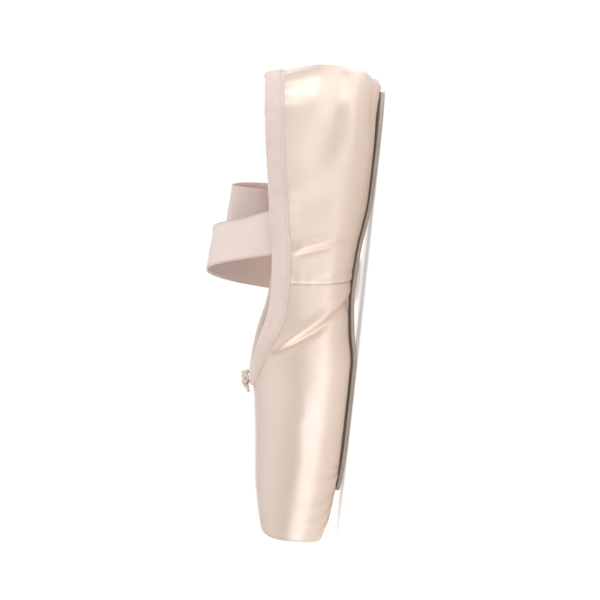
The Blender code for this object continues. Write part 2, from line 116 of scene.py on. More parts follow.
# The shoe's shape: the last's sections, the heel's back, the collar and the sole's outline
Station = namedtuple("Station", "at width top widest flat lift")
LAST = (
    Station(0.00, 0.670, 2.20, 0.44, 0.60, 0.00),
    Station(0.14, 0.692, 2.20, 0.44, 0.62, 0.00),
    Station(0.26, 0.697, 2.00, 0.43, 0.60, 0.08),
    Station(0.39, 0.765, 1.60, 0.42, 0.54, 0.88),
    Station(0.46, 0.825, 1.42, 0.42, 0.54, 1.00),
    Station(0.54, 0.915, 1.22, 0.41, 0.57, 0.62),
    Station(0.61, 0.980, 1.06, 0.40, 0.61, 0.00),
    Station(0.66, 1.000, 0.99, 0.40, 0.62, 0.00),
    Station(0.71, 0.985, 0.96, 0.39, 0.62, 0.00),
    Station(0.78, 0.915, 0.92, 0.39, 0.62, 0.00),
    Station(0.86, 0.805, 0.88, 0.40, 0.61, 0.14),
    Station(0.93, 0.700, 0.83, 0.42, 0.56, 0.45),
    Station(1.00, 0.590, 0.75, 0.45, 0.50, 1.10),
)
Back = namedtuple("Back", "up inset")
HEEL_BACK = (
    Back(0.00, 0.200),
    Back(0.08, 0.120),
    Back(0.19, 0.030),
    Back(0.36, 0.000),
    Back(0.55, 0.012),
    Back(0.75, 0.060),
    Back(1.00, 0.150),
    Back(2.00, 0.420),
)
Edge = namedtuple("Edge", "at heel instep")
COLLAR = (
    Edge(0.00, 1.00, 0.000),
    Edge(0.12, 0.80, 0.205),
    Edge(0.25, 0.60, 0.385),
    Edge(0.45, 0.35, 0.575),
    Edge(0.65, 0.15, 0.715),
    Edge(0.77, 0.06, 0.815),
    Edge(0.86, 0.00, 0.938),
    Edge(0.93, 0.00, 0.978),
    Edge(1.00, 0.00, 1.000),
    Edge(1.40, 0.00, 1.120),
)
Sole = namedtuple("Sole", "at width")
SOLE = (
    Sole(0.00, 0.430),
    Sole(0.15, 0.445),
    Sole(0.27, 0.412),
    Sole(0.40, 0.405),
    Sole(0.50, 0.485),
    Sole(0.60, 0.590),
    Sole(0.68, 0.625),
    Sole(0.76, 0.600),
    Sole(0.84, 0.540),
    Sole(0.92, 0.450),
)
SOLE_HEEL = 0.045
SOLE_TOE = 0.897
SOLE_HEEL_ROUND = 0.075
SOLE_TOE_ROUND = 0.120

# Creases and folds of the satin, as they lie on each side. side: +1 the inner side, -1 the outer
# one. x0, x1: shares of the length. z0, z1: shares of the heel height. bow: how far the line
# bends towards the toe in its middle, as a share of the length. width: metres. depth: metres,
# negative for a trough and positive for a ridge. start, end: how much of it is left at its ends.
Crease = namedtuple("Crease", "side x0 z0 x1 z1 bow width depth start end")
CREASES = (
    Crease(+1, 0.414, 0.90, 0.346, 0.10, 0.000, 0.0015, -0.0007, 1.0, 0.1),
    Crease(+1, 0.399, 0.90, 0.332, 0.10, 0.000, 0.0024, +0.0012, 1.0, 0.1),
    Crease(+1, 0.612, 0.80, 0.466, 0.08, 0.008, 0.0018, -0.0013, 1.0, 0.8),
    Crease(+1, 0.596, 0.80, 0.452, 0.10, 0.008, 0.0024, +0.0010, 0.8, 0.5),
    Crease(+1, 0.565, 0.50, 0.486, 0.10, 0.004, 0.0011, -0.0004, 0.0, 0.8),
    Crease(+1, 0.012, 0.24, 0.220, 0.20, 0.000, 0.0052, +0.0008, 0.7, 0.0),
    Crease(+1, 0.440, 0.46, 0.415, 0.12, 0.000, 0.0016, -0.0004, 0.0, 0.7),
    Crease(+1, 0.235, 0.56, 0.010, 0.37, 0.004, 0.0060, -0.0007, 0.0, 0.8),
    Crease(+1, 0.310, 0.70, 0.250, 0.30, 0.000, 0.0070, -0.0003, 0.6, 0.1),
    Crease(+1, 0.040, 0.11, 0.140, 0.09, 0.000, 0.0016, -0.0005, 0.6, 0.2),
    Crease(+1, 0.760, 0.34, 0.715, 0.30, 0.000, 0.0060, -0.0003, 0.3, 0.3),
    Crease(-1, 0.410, 0.84, 0.372, 0.14, 0.004, 0.0014, -0.0007, 0.9, 0.3),
    Crease(-1, 0.394, 0.84, 0.358, 0.14, 0.004, 0.0026, +0.0009, 0.9, 0.1),
    Crease(-1, 0.590, 0.80, 0.486, 0.12, 0.012, 0.0019, -0.0009, 1.0, 0.3),
    Crease(-1, 0.573, 0.80, 0.470, 0.12, 0.012, 0.0023, +0.0006, 0.8, 0.2),
    Crease(-1, 0.512, 0.44, 0.478, 0.12, 0.000, 0.0012, -0.0004, 0.0, 0.6),
    Crease(-1, 0.225, 0.66, 0.050, 0.24, 0.006, 0.0070, -0.0006, 0.2, 0.3),
    Crease(-1, 0.330, 0.66, 0.275, 0.16, 0.000, 0.0042, -0.0005, 0.5, 0.1),
    Crease(-1, 0.760, 0.36, 0.720, 0.30, 0.000, 0.0060, -0.0003, 0.3, 0.3),
)

# The ribbons' way. Hang, from the sewn end over the collar and down: forward of RIBBON_AT in
# metres, side as a share of the inside half width, up as a share of the collar's height. Lie, on
# the floor: run in metres, turn in degrees over it, up as the height, and back as the degrees off
# straight when the ribbon then doubles back on itself.
Hang = namedtuple("Hang", "forward side up")
ACROSS = (
    Hang(0.000, 1.000, 0.44),
    Hang(0.000, 1.000, 0.54),
    Hang(0.001, 1.000, 0.66),
    Hang(0.004, 0.850, 0.92),
    Hang(0.010, 0.640, 1.28),
    Hang(0.016, 0.200, 1.58),
    Hang(0.022, -0.420, 1.58),
    Hang(0.027, -1.060, 1.34),
    Hang(0.030, -1.400, 0.95),
    Hang(0.032, -1.540, 0.50),
    Hang(0.033, -1.760, 0.12),
)
OVER = (
    Hang(0.000, 1.000, 0.44),
    Hang(0.000, 1.000, 0.54),
    Hang(0.000, 1.000, 0.66),
    Hang(0.000, 0.860, 0.92),
    Hang(0.000, 0.760, 1.20),
    Hang(0.000, 0.960, 1.46),
    Hang(-0.001, 1.280, 1.34),
    Hang(-0.002, 1.460, 0.94),
    Hang(-0.003, 1.600, 0.50),
    Hang(-0.004, 1.840, 0.12),
)
Lie = namedtuple("Lie", "run turn up back")
FLOOR_ACROSS = (
    Lie(0.050, 10, 0.0010, 0),
    Lie(0.090, 16, 0.0010, -34),
    Lie(0.045, -4, 0.0042, 0),
    Lie(0.045, -6, 0.0010, 0),
    Lie(0.160, -12, 0.0010, 0),
)
FLOOR_OVER = (
    Lie(0.050, -2, 0.0010, 0),
    Lie(0.100, -5, 0.0010, 24),
    Lie(0.045, 2, 0.0042, 0),
    Lie(0.045, -4, 0.0010, 0),
    Lie(0.220, -16, 0.0010, 0),
)
FOLD_ROUND = 0.0048
RIBBON_AT = 0.33
RIBBON_OFF = 0.00025
LANDING_RUN = 0.014
LANDING_UP = 0.0012


def spline(xs, ys, q):
    """Monotone cubic through the points, so level stretches of a table stay level."""
    xs = np.asarray(xs, float)
    ys = np.asarray(ys, float)
    h = np.diff(xs)
    d = np.diff(ys) / h
    m = np.empty(len(xs))
    m[0] = d[0]
    m[-1] = d[-1]
    for k in range(1, len(xs) - 1):
        if d[k - 1] * d[k] <= 0:
            m[k] = 0.0
        else:
            a = 2 * h[k] + h[k - 1]
            b = h[k] + 2 * h[k - 1]
            m[k] = (a + b) / (a / d[k - 1] + b / d[k])
    q = np.clip(np.asarray(q, float), xs[0], xs[-1])
    i = np.clip(np.searchsorted(xs, q) - 1, 0, len(xs) - 2)
    s = (q - xs[i]) / h[i]
    a = (1 + 2 * s) * (1 - s) ** 2 * ys[i] + s * (1 - s) ** 2 * h[i] * m[i]
    return a + s * s * (3 - 2 * s) * ys[i + 1] - s * s * (1 - s) * h[i] * m[i + 1]


def column(table, key, name, q):
    return spline([getattr(r, key) for r in table], [getattr(r, name) for r in table], q)


SHARES = np.linspace(0, 1, 3001)
ALONG = {name: column(LAST, "at", name, SHARES) for name in ("width", "top", "widest", "flat", "lift")}
UPS = np.linspace(0, 2, 3001)
BACK_INSET = column(HEEL_BACK, "up", "inset", UPS)


def section(name, x):
    """A column of the last's table at x, from its spline."""
    return np.interp(np.asarray(x, float) / LENGTH, SHARES, ALONG[name])


def smoothstep(q):
    q = np.clip(q, 0.0, 1.0)
    return q * q * (3 - 2 * q)


def bell(d, width):
    """1 on a line, falling to nearly 0 two widths away from it."""
    return np.exp(-(d / width) ** 2)


def bottom_at(x):
    return SOLE_TOP + ARCH_HEIGHT * section("lift", x)


def top_at(x):
    return INSTEP_HEIGHT * section("top", x)


def widest_at(x):
    return INSTEP_HEIGHT * section("widest", x)


def collar_at(x):
    q = np.asarray(x, float) / THROAT
    throat_height = top_at(THROAT)
    return (HEEL_HEIGHT * column(COLLAR, "at", "heel", q)
            + throat_height * column(COLLAR, "at", "instep", q))


def wall_at(x):
    return WALL + (BOX_WALL - WALL) * smoothstep((x - THROAT) / (0.6 * VAMP_LENGTH))


def seam_at(z):
    return 0.432 * LENGTH + 0.10 * z


def last(x, y, z, inset):
    """Negative inside the last, shrunk by the inset."""
    back = HEEL_WIDTH * np.interp(z / HEEL_HEIGHT, UPS, BACK_INSET)
    q = x - back * (1 - smoothstep(x / (1.25 * HEEL_WIDTH))) - inset
    heel = 0.60 * HEEL_WIDTH
    cap = (1 - np.clip(1 - q / heel, 0, 1) ** 2.2) ** (1 / 2.2)
    tip = LENGTH - inset
    bend = np.maximum(TOE_ROUND - inset, 0.0007)
    s = np.clip((x - (tip - bend)) / bend, 0, 1)
    give = bend * (1 - np.sqrt(1 - s * s))
    wide = BALL * section("width", x) * cap - inset - give
    mid = widest_at(x)
    top = top_at(x) - inset - give
    low = bottom_at(x) + inset + give
    flat = np.maximum(section("flat", x) * wide, 0)
    wide = np.maximum(wide, 1e-5)
    across = np.abs(y) / wide
    above = (np.maximum(z - mid, 0) / (top - mid)) ** 2.25 + across ** 2.25
    side = np.maximum(np.abs(y) - flat, 0) / np.maximum(wide - flat, 1e-5)
    below = (np.maximum(mid - z, 0) / (mid - low)) ** 2.2 + side ** 2.2
    value = np.where(z > mid, above, below) - 1
    return np.where((x > tip) | (q < 0), 1.0, value)


def level(p, inset):
    """The last's value at points of shape (n, 3)."""
    return last(p[:, 0], p[:, 1], p[:, 2], inset(p[:, 0]))


def farthest(count, limit, rounds, inside):
    """The longest distances that are still inside, found by halving."""
    near = np.zeros(count)
    far = np.full(count, limit)
    for _ in range(rounds):
        mid = (near + far) / 2
        held = inside(mid)
        near = np.where(held, mid, near)
        far = np.where(held, far, mid)
    return near


def cast(start, way, inset):
    """The places where lines from start, along way, leave the last. Arrays of shape (n, 3)."""
    reach = farthest(len(start), 0.3, 30, lambda d: level(start + way * d[:, None], inset) < 0)
    return start + way * reach[:, None]


def outer(x):
    return np.zeros_like(x)


def inner(x):
    return wall_at(x)


def half_at(x, z):
    """Half the shoe's width between its walls."""
    return float(cast(np.array([[x, 0.0, z]]), np.array([[0.0, 1.0, 0.0]]), inner)[0, 1])


def sole_half(x, inset=0.0):
    """Half width of the outsole's outline, moved in by the inset."""
    start = SOLE_HEEL * LENGTH + inset
    end = SOLE_TOE * LENGTH - inset
    a = np.clip(1 - (x - start) / (SOLE_HEEL_ROUND * LENGTH), 0, 1)
    b = np.clip(1 - (end - x) / (SOLE_TOE_ROUND * LENGTH), 0, 1)
    cap = np.sqrt(1 - a * a) * np.sqrt(1 - b ** 2.4)
    half = BALL * column(SOLE, "at", "width", x / LENGTH) - inset
    return np.where((x < start) | (x > end), 0.0, half * cap)


def along(points):
    step = np.linalg.norm(np.diff(points, axis=0), axis=1)
    return np.concatenate([[0.0], np.cumsum(step)])


def between(places, at, points):
    """Points at the places asked for, from points that stand at the places in at."""
    return np.stack([np.interp(places, at, points[:, k]) for k in range(3)], axis=1)


def pick(points, s):
    return between(s, along(points), points)


def bends(points, s, reach):
    """How sharply a path turns at each point, evened out over its neighbours."""
    way = np.diff(points, axis=0) / np.maximum(np.diff(s), 1e-9)[:, None]
    bend = np.arccos(np.clip((way[1:] * way[:-1]).sum(1), -1, 1))
    bend = np.concatenate([[0.0], bend, [0.0]])
    window = 2 * reach + 1
    return np.convolve(np.pad(bend, reach, mode="edge"), np.ones(window) / window, mode="valid")


def spread(points, count, sharp):
    """Picks places along a path, evenly but closer together where it bends."""
    s = along(points)
    soft = bends(points, s, 4)
    load = np.concatenate([[0.0], np.cumsum(np.diff(s) + sharp * (soft[1:] + soft[:-1]) / 2)])
    return np.interp(np.linspace(0, load[-1], count), load, s)


def fans():
    """One upright plane for each column: its foot on the shoe's axis, and its azimuth. The waist,
    where the satin creases most, gets the closest columns."""
    heel = 0.66 * HEEL_WIDTH
    toe = THROAT - 0.16 * VAMP_LENGTH
    square = math.pi / 2
    back, side, front = 400, 700, 900
    foot = np.concatenate([np.full(back, heel), np.linspace(heel, toe, side), np.full(front, toe)])
    angle = np.concatenate([math.pi - np.linspace(0, square, back), np.full(side, square),
                            np.linspace(square, 0, front)])
    start = np.stack([foot, 0 * foot, widest_at(foot)], axis=1)
    way = np.stack([np.cos(angle), np.sin(angle), 0 * angle], axis=1)
    rim = cast(start, way, outer)
    rim[0, 1] = 0
    rim[-1, 1] = 0
    s = along(rim)
    keep = np.concatenate([[True], np.diff(s) > 1e-7])
    s, rim, foot, angle = s[keep], rim[keep], foot[keep], angle[keep]
    soft = bends(rim, s, 6)
    share = rim[:, 0] / LENGTH
    waist = smoothstep((share - 0.31) / 0.05) * smoothstep((0.64 - share) / 0.05)
    load = np.diff(s) * (1 + 0.9 * (waist[1:] + waist[:-1]) / 2) + 0.010 * (soft[1:] + soft[:-1]) / 2
    load = np.concatenate([[0.0], np.cumsum(load)])
    chosen = np.interp(np.linspace(0, load[-1], COLUMNS // 2 + 1), load, s)
    foot = np.interp(chosen, s, foot)
    angle = np.interp(chosen, s, angle)
    return np.concatenate([foot, foot[-2:0:-1]]), np.concatenate([angle, -angle[-2:0:-1]])


def profiles(feet, angles, inset):
    """The last's section in every column's plane, from straight down to nearly straight up."""
    tilt = np.radians(np.linspace(-89.9, 86, RAYS))
    start = np.stack([feet, 0 * feet, widest_at(feet)], axis=1)
    start = np.repeat(start, RAYS, axis=0)
    out = np.tile(np.cos(tilt), len(feet))
    up = np.tile(np.sin(tilt), len(feet))
    turn = np.repeat(angles, RAYS)
    way = np.stack([out * np.cos(turn), out * np.sin(turn), up], axis=1)
    return cast(start, way, inset).reshape(len(feet), RAYS, 3)


def crossing(values):
    """Fractional index where the values first rise through zero."""
    k = int(np.argmax(values > 0))
    return k - 1 + values[k - 1] / (values[k - 1] - values[k])


def cut(points, low, high):
    """The part of a path between two fractional indices."""
    n = np.arange(len(points))
    inside = n[(n > low) & (n < high)]
    index = np.concatenate([[low], inside, [high]])
    return between(index, n, points)


def rim_reaches(feet, angles):
    """How far from the axis the upper's edge lies underneath, under the outsole's own edge."""
    out, side = np.cos(angles), np.abs(np.sin(angles))
    return farthest(len(feet), 0.2, 28, lambda d: sole_half(feet + d * out, RIM_TUCK) > d * side)


def normal(points, inset):
    """The last's outward direction at each point of a grid that lies on it."""
    p = points.reshape(-1, 3)
    grad = np.empty_like(p)
    for k in range(3):
        step = 2e-5 * np.eye(3)[k]
        grad[:, k] = level(p + step, inset) - level(p - step, inset)
    grad /= np.maximum(np.linalg.norm(grad, axis=1), 1e-12)[:, None]
    return grad.reshape(points.shape)


def shell_paths():
    """For every column, the outer and inner paths from the edge underneath up to the collar."""
    feet, angles = fans()
    reaches = rim_reaches(feet, angles)
    out_all = profiles(feet, angles, outer)
    in_all = profiles(feet, angles, inner)
    paths_out, paths_in = [], []
    for foot, reach, out, inn in zip(feet, reaches, out_all, in_all):
        low = crossing(np.hypot(out[:, 0] - foot, out[:, 1]) - reach)
        over = np.where(out[:, 2] > widest_at(out[:, 0]), out[:, 2] - collar_at(out[:, 0]), -1.0)
        high = crossing(over)
        path = cut(out, low, high)
        low = crossing(np.hypot(inn[:, 0] - foot, inn[:, 1]) - reach)
        dense = cut(inn, low, len(inn) - 1.001)
        end = int(np.argmin(np.linalg.norm(dense - path[-1], axis=1)))
        paths_out.append(path)
        paths_in.append(dense[:end + 1])
    return paths_out, paths_in


def rows_on(paths, rows, sharp, passes):
    """Places along each column's path, evened out between neighbouring columns."""
    lengths = np.array([along(path)[-1] for path in paths])
    shares = np.array([spread(pick(path, np.linspace(0, size, 900)), rows, sharp) / size
                       for path, size in zip(paths, lengths)])
    for _ in range(passes):
        shares = (np.roll(shares, 1, axis=0) + 2 * shares + np.roll(shares, -1, axis=0)) / 4
    return np.array([pick(path, share * size) for path, size, share in zip(paths, lengths, shares)])


def from_collar(paths, steps):
    """Places at set distances below the collar, along each column's path."""
    return np.array([pick(path, along(path)[-1] - steps) for path in paths])


def run_down(grid):
    """Distance of each place from its column's first one."""
    steps = np.linalg.norm(np.diff(grid, axis=1), axis=2)
    return np.concatenate([np.zeros((len(grid), 1)), np.cumsum(steps, axis=1)], axis=1)


def cloth_uv(grid, run):
    """Places on the cloth in metres: run across the columns, and the distance down each column."""
    return np.stack([np.repeat(run[:, None], grid.shape[1], axis=1), run_down(grid)], axis=-1)


def crease_relief(x, y, z):
    """Height of the creases, and the painted shade in their troughs: how deep in a trough each place lies.
    """
    height = np.zeros_like(x)
    fold_shade = np.zeros_like(x)
    for c in CREASES:
        ax, az = c.x0 * LENGTH, c.z0 * HEEL_HEIGHT
        bx, bz = c.x1 * LENGTH, c.z1 * HEEL_HEIGHT
        size = math.hypot(bx - ax, bz - az)
        ux, uz = (bx - ax) / size, (bz - az) / size
        t = ((x - ax) * ux + (z - az) * uz) / size
        d = (x - ax) * -uz + (z - az) * ux
        q = np.clip(t, 0, 1)
        d = d * (1 if uz < 0 else -1) - c.bow * LENGTH * 4 * q * (1 - q)
        away = np.maximum(np.abs(t - 0.5) - 0.5, 0) * size
        d = np.hypot(d, away)
        taper = c.start + (1 - c.start) * smoothstep(q / 0.35)
        taper = taper * (c.end + (1 - c.end) * smoothstep((1 - q) / 0.45))
        this_side = smoothstep((c.side * y - 0.004) / 0.008)
        shape = bell(d, c.width) * taper * this_side
        height += c.depth * shape
        # Troughs also darken the satin's colour as painted shade, less where they are wide and soft.
        if c.depth < 0:
            strength = min(1.0, -c.depth / 0.0008) * min(1.0, 0.0014 / c.width)
            fold_shade = np.maximum(fold_shade, shape * strength)
    return height, fold_shade


def pleat_relief(x, y, z):
    """Height of the pleats lasted under the toe, and how deep in a tuck each place lies, which the satin's
    colour darkens as painted shade.
    """
    under = smoothstep((bottom_at(x) + PLEAT_REACH - z) / 0.0075)
    ahead = smoothstep((x - PLEAT_CENTRE) / 0.012)
    tip = smoothstep((LENGTH - 0.0035 - x) / 0.004)
    clear = np.maximum(smoothstep((np.abs(y) - sole_half(x) - 0.0015) / 0.004),
                       smoothstep((x - SOLE_TOE * LENGTH - 0.001) / 0.004))
    reach = under * ahead * tip * clear
    turn = np.arctan2(y, x - PLEAT_CENTRE)
    wobble = 0.10 * np.sin(3 * turn + 0.8) + 0.06 * np.sin(7 * turn + 2.1)
    saw = (turn + wobble) / (2 * math.pi) * PLEATS % 1.0
    rise = np.where(saw < PLEAT_LAP, saw / PLEAT_LAP, (1 - saw) / (1 - PLEAT_LAP)) - 0.5
    tuck = bell((saw - 0.46) % 1.0 - 0.5, 0.09)
    return PLEAT_HEIGHT * rise * reach, tuck * reach


def waviness(x, y, z):
    """Slow unevenness of cloth stretched by hand over a last."""
    return (0.00006 * np.sin(x * 150 + y * 90 + 0.7) * np.sin(z * 190 - x * 45 + 1.1)
            + 0.00004 * np.sin(x * 260 - z * 140 + 2.0) * np.sin(y * 210 + x * 80))


def gathers(s, pitch, drift, slow, swell, phase):
    """Small waves along a gathered edge, uneven in pitch and in height."""
    wave = np.sin(s * 2 * math.pi / pitch + drift * np.sin(s * slow))
    return wave * (0.6 + 0.4 * np.sin(s * swell + phase))


def dress(grid, below):
    """Moves the outer wall's grid by seams, creases, pleats and puckers. below: distance of each
    place under the collar. Returns the grid and the marks used by the satin's material: painted shade in
    crease troughs and pleat tucks, and the seam line."""
    x, y, z = grid[..., 0], grid[..., 1], grid[..., 2]
    above_rim = smoothstep((z - bottom_at(x) - 0.0006) / 0.0012)
    beside_sole = smoothstep((np.abs(y) - sole_half(x) - 0.0008) / 0.0015)
    free = np.maximum(above_rim, beside_sole)
    on_rim = (z < bottom_at(x) + 0.0008) & (np.abs(y) < sole_half(x) + 0.0015)
    at_heel = x < BACK_SEAM_END * LENGTH
    ahead = x - seam_at(z)
    step = SEAM_STEP * smoothstep((0.0002 - ahead) / 0.0006)
    seams = -SEAM_GROOVE * bell(ahead - 0.0004, 0.0006) + SEAM_TURNING * bell(ahead + 0.0022, 0.0014)
    seams += 0.00003 * bell(ahead + 0.002, 0.004) * np.sin(z * 2 * math.pi / 0.0052 + 1.0)
    seams -= BACK_GROOVE * bell(y, 0.0006) * at_heel
    seams += BACK_TURNING * bell(np.abs(y) - 0.0022, 0.0013) * at_heel
    pleats, tucks = pleat_relief(x, y, z)
    creases, fold_shade = crease_relief(x, y, z)
    ripple = gathers(along(grid[:, -1])[:, None], PUCKER_PITCH, 1.4, 31, 77, 1)
    near = np.exp(-(np.maximum(below - BINDING_WIDTH, 0) / 0.006))
    puckers = PUCKER_HEIGHT * ripple * near * smoothstep((below - 0.5 * BINDING_WIDTH) / 0.003)
    body = smoothstep((below - BINDING_WIDTH + 0.0012) / 0.008)
    move = step + free * (seams + pleats) + puckers
    move += free * body * (creases + waviness(x, y, z))
    move[on_rim] = 0.0
    line = np.maximum(bell(ahead - 0.0003, 0.0004) * free, bell(y, 0.0005) * at_heel)
    # Painted shade in crease troughs and pleat tucks, for the satin's colour.
    fold_shade = np.clip(fold_shade * body + 0.9 * tucks, 0, 1)
    return grid + normal(grid, outer) * move[..., None], {"fold_shade": fold_shade, "seam": line}


def added(name, data):
    """An object for the data, in the scene."""
    obj = bpy.data.objects.new(name, data)
    bpy.context.scene.collection.objects.link(obj)
    return obj


def make(name, points, faces, look, marks=None, uv=None):
    """A mesh object from points and faces, shifted into the frame. marks: one number a point."""
    verts = np.array(points, float).reshape(-1, 3)
    verts[:, 0] += SHIFT
    mesh = bpy.data.meshes.new(name)
    mesh.from_pydata(verts.tolist(), [], [tuple(map(int, f)) for f in faces])
    mesh.update()
    mesh.polygons.foreach_set("use_smooth", np.ones(len(mesh.polygons), dtype=bool))
    for key, values in (marks or {}).items():
        layer = mesh.attributes.new(key, "FLOAT", "POINT")
        layer.data.foreach_set("value", np.asarray(values, np.float32).ravel())
    if uv is not None:
        layer = mesh.uv_layers.new(name="cloth")
        index = np.empty(len(mesh.loops), dtype=np.int32)
        mesh.loops.foreach_get("vertex_index", index)
        layer.data.foreach_set("uv", np.asarray(uv, np.float32).reshape(-1, 2)[index].ravel())
    mesh.materials.append(look)
    v = verts - verts.mean(axis=0)
    mesh.calc_loop_triangles()
    tri = np.empty(3 * len(mesh.loop_triangles), dtype=np.int32)
    mesh.loop_triangles.foreach_get("vertices", tri)
    a, b, c = (v[tri[k::3]] for k in range(3))
    if np.einsum("ij,ij->i", a, np.cross(b, c)).sum() < 0:
        mesh.flip_normals()
    return added(name, mesh)


def wrap(columns, rows, closed_columns, closed_rows):
    """Quads over a grid of points kept column by column."""
    i = np.arange(columns if closed_columns else columns - 1)
    j = np.arange(rows if closed_rows else rows - 1)
    i, j = (k.ravel() for k in np.meshgrid(i, j, indexing="ij"))
    a, b = i * rows, ((i + 1) % columns) * rows
    k = (j + 1) % rows
    return np.stack([a + j, b + j, b + k, a + k], axis=1)


def capped(grid):
    """Quads round closed sections swept along a path, and a cap at each end."""
    n, m = grid.shape[:2]
    faces = [tuple(f) for f in wrap(n, m, False, True)]
    faces.append(tuple(range(m)))
    faces.append(tuple((n - 1) * m + j for j in reversed(range(m))))
    return faces


# Materials


class Nodes:
    """A node tree, built one named node at a time."""

    def __init__(self, tree):
        self.tree = tree

    def node(self, kind, links=(), **values):
        """links: pairs of a socket and its source. Values called in_ and a name go to that socket."""
        n = self.tree.nodes.new(kind)
        for key, value in values.items():
            if key.startswith("in_"):
                n.inputs[key[3:].replace("_", " ")].default_value = value
            else:
                setattr(n, key, value)
        for socket, source in links:
            self.tree.links.new(source, n.inputs[socket])
        return n

    def feed(self, n, inputs):
        """Gives each socket a number, a colour or another node's output."""
        for socket, value in inputs:
            if isinstance(value, (int, float)):
                n.inputs[socket].default_value = value
            elif isinstance(value, tuple):
                n.inputs[socket].default_value = (*value, 1)
            else:
                self.tree.links.new(value, n.inputs[socket])

    def place(self, kind="Object"):
        return self.node("ShaderNodeTexCoord").outputs[kind]

    def stretched(self, scale):
        return self.node("ShaderNodeMapping", [("Vector", self.place("UV"))], in_Scale=scale).outputs[0]

    def noise(self, vector, scale, detail=2.0, rough=0.5):
        return self.node("ShaderNodeTexNoise", [("Vector", vector)], in_Scale=scale, in_Detail=detail,
                         in_Roughness=rough).outputs["Fac"]

    def wave(self, vector, scale, distortion, direction="X", detail_scale=1.0):
        return self.node("ShaderNodeTexWave", [("Vector", vector)], in_Scale=scale, in_Distortion=distortion,
                         in_Detail_Scale=detail_scale, bands_direction=direction).outputs["Fac"]

    def woven(self, vector, scale, distortion):
        """Threads that cross."""
        warp = self.wave(vector, scale, distortion)
        weft = self.wave(vector, scale, distortion, "Y")
        return self.maths("MULTIPLY", warp, weft)

    def ramp(self, value, low, high, to_low=0.0, to_high=1.0):
        return self.node("ShaderNodeMapRange", [("Value", value)], in_From_Min=low, in_From_Max=high,
                         in_To_Min=to_low, in_To_Max=to_high).outputs[0]

    def maths(self, how, a, b):
        n = self.node("ShaderNodeMath", operation=how)
        self.feed(n, ((0, a), (1, b)))
        return n.outputs[0]

    def mix(self, factor, a, b):
        """Colour a, or b where the factor is 1. Sockets 6 and 7 are the node's two colours."""
        n = self.node("ShaderNodeMix", data_type="RGBA")
        self.feed(n, ((0, factor), (6, a), (7, b)))
        return n.outputs[2]

    def tones(self, scale, detail, a, b, low=0.3, high=0.7):
        """Two near colours in soft patches."""
        return self.mix(self.ramp(self.noise(self.place(), scale, detail), low, high), a, b)

    def tint(self, color, value, low, high, most, over):
        """Lays the colour over on the other one, more as the value rises from low to high."""
        return self.mix(self.ramp(value, low, high, 0.0, most), color, over)


class Look(Nodes):
    """A material with one shader."""

    def __init__(self, name, color, rough, **sockets):
        self.mat = bpy.data.materials.new(name)
        self.mat.use_nodes = True
        super().__init__(self.mat.node_tree)
        self.shader = self.tree.nodes["Principled BSDF"]
        self.shader.inputs["Base Color"].default_value = (*color, 1)
        self.shader.inputs["Roughness"].default_value = rough
        for key, value in sockets.items():
            self.shader.inputs[key.replace("_", " ")].default_value = value

    def link(self, source, socket):
        self.tree.links.new(source, self.shader.inputs[socket])

    def mark(self, name):
        return self.node("ShaderNodeAttribute", attribute_name=name).outputs["Fac"]

    def finish(self, color, *layers):
        """Links the colour and a chain of bumps: (height, strength, distance in metres)."""
        self.link(color, "Base Color")
        before = None
        for height, strength, distance in layers:
            links = [("Height", height)]
            if before is not None:
                links.append(("Normal", before))
            n = self.node("ShaderNodeBump", links, in_Strength=strength, in_Distance=distance)
            before = n.outputs[0]
        self.link(before, "Normal")
        return self.mat


def satin_look():
    look = Look("satin", (0.80, 0.59, 0.44), 0.34, Metallic=0.06, Anisotropic=0.45, IOR=2.2,
                Specular_IOR_Level=0.95, Coat_Weight=0.5, Coat_Roughness=0.24, Sheen_Weight=0.04,
                Sheen_Roughness=0.4)
    swell = look.noise(look.place(), 60)
    streak = look.noise(look.stretched((70, 1500, 1)), 1.0, 3.0, 0.6)
    blotch = look.noise(look.place(), 110, 3.0)
    weave = look.noise(look.stretched((900, 5200, 1)), 1.0)
    color = look.tones(34, 2.0, (0.79, 0.605, 0.485), (0.77, 0.575, 0.445), 0.35, 0.65)
    color = look.tint(color, streak, 0.3, 0.7, 0.30, (0.84, 0.65, 0.52))
    # Painted shade: crease troughs and pleat tucks darkened to orange-tan.
    color = look.tint(color, look.mark("fold_shade"), 0.1, 1.0, 0.6, (0.72, 0.42, 0.24))
    color = look.tint(color, look.mark("seam"), 0.2, 0.9, 0.9, (0.40, 0.18, 0.11))
    look.link(look.ramp(blotch, 0.3, 0.7, 0.32, 0.44), "Roughness")
    return look.finish(color, (swell, 0.14, 0.0009), (streak, 0.16, 0.00012), (weave, 0.12, 0.00006))


def lining_look():
    look = Look("lining", (0.80, 0.70, 0.60), 0.92, Sheen_Weight=0.10, Specular_IOR_Level=0.2)
    cross = look.woven(look.place("UV"), 260.0, 1.2)
    color = look.tones(90, 3.0, (0.92, 0.84, 0.75), (0.86, 0.77, 0.67))
    color = look.mix(look.ramp(cross, 0.0, 0.8, 0.25, 0.0), color, (0.70, 0.59, 0.48))
    return look.finish(color, (look.noise(look.place(), 70), 0.4, 0.0008), (cross, 0.5, 0.00025))


def casing_look():
    look = Look("casing", (0.82, 0.68, 0.61), 0.78, Sheen_Weight=0.35, Sheen_Roughness=0.55,
                Specular_IOR_Level=0.25)
    rib = look.wave(look.place("UV"), 150.0, 0.8, detail_scale=2.0)
    fuzz = look.noise(look.place(), 1400, 3.0, 0.6)
    color = look.tones(120, 2.0, (0.84, 0.70, 0.635), (0.79, 0.64, 0.57))
    color = look.mix(look.ramp(rib, 0.0, 1.0, 0.10, 0.0), color, (0.66, 0.50, 0.42))
    return look.finish(color, (rib, 0.20, 0.00018), (fuzz, 0.25, 0.00015))


